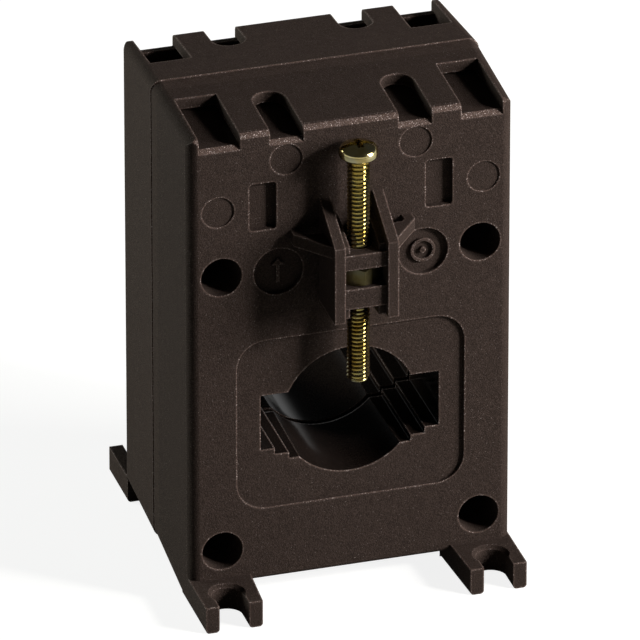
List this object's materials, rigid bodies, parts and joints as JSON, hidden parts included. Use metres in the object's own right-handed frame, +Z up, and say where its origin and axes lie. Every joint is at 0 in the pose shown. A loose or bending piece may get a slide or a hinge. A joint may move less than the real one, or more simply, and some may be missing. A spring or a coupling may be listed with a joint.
{
  "type": "current transformer",
  "caption": "Window-type current transformer in a moulded two-shell case with a stepped bar and cable window, forked feet and a front clamp screw.",
  "frame": {"origin": "centre of the footprint, on the plane that the four feet stand on", "axes": "+Z up; +Y to the back, so the front face with the bar clamp looks along -Y; +X to the right seen from the front"},
  "size_m": [0.0576, 0.0596, 0.0899],
  "materials": {
    "case plastic": "fine spark-eroded texture",
    "zinc steel": "yellow passivated zinc",
    "core steel": "strip-wound silicon steel",
    "core tape": "thin film tape",
    "enamelled wire": "enamelled copper wire",
    "winding tape": "yellow film tape",
    "spacer card": "pressboard",
    "lead sleeve": "insulating sleeve",
    "terminal brass": "plain brass",
    "terminal steel": "zinc plated"
  },
  "bodies": {
    "case": {"front_shell": "case plastic", "rear_shell": "case plastic", "clamp_nut": "zinc steel", "core_ring": "core steel", "core_tape": "core tape", "secondary_winding": "enamelled wire", "winding_tape": "winding tape", "spacer_front": "spacer card", "spacer_rear": "spacer card", "lead_left": "enamelled wire", "lead_right": "enamelled wire", "lead_sleeve_left": "lead sleeve", "lead_sleeve_right": "lead sleeve", "terminal_left": "terminal brass", "terminal_right": "terminal brass", "wire_plate_left": "terminal steel", "wire_plate_right": "terminal steel"},
    "clamp_screw_body": {"clamp_screw": "zinc steel"},
    "terminal_screw_left_body": {"terminal_screw_left": "terminal steel"},
    "terminal_screw_right_body": {"terminal_screw_right": "terminal steel"}
  },
  "joints": [
    {"name": "clamp_screw_travel", "type": "slide", "parent": "case", "child": "clamp_screw_body", "axis": [0, 0, 1], "range_m": [-0.011, 0.018]},
    {"name": "terminal_screw_left_travel", "type": "slide", "parent": "case", "child": "terminal_screw_left_body", "axis": [0, 0, 1], "range_m": [0, 0.003]},
    {"name": "terminal_screw_right_travel", "type": "slide", "parent": "case", "child": "terminal_screw_right_body", "axis": [0, 0, 1], "range_m": [0, 0.003]}
  ]
}
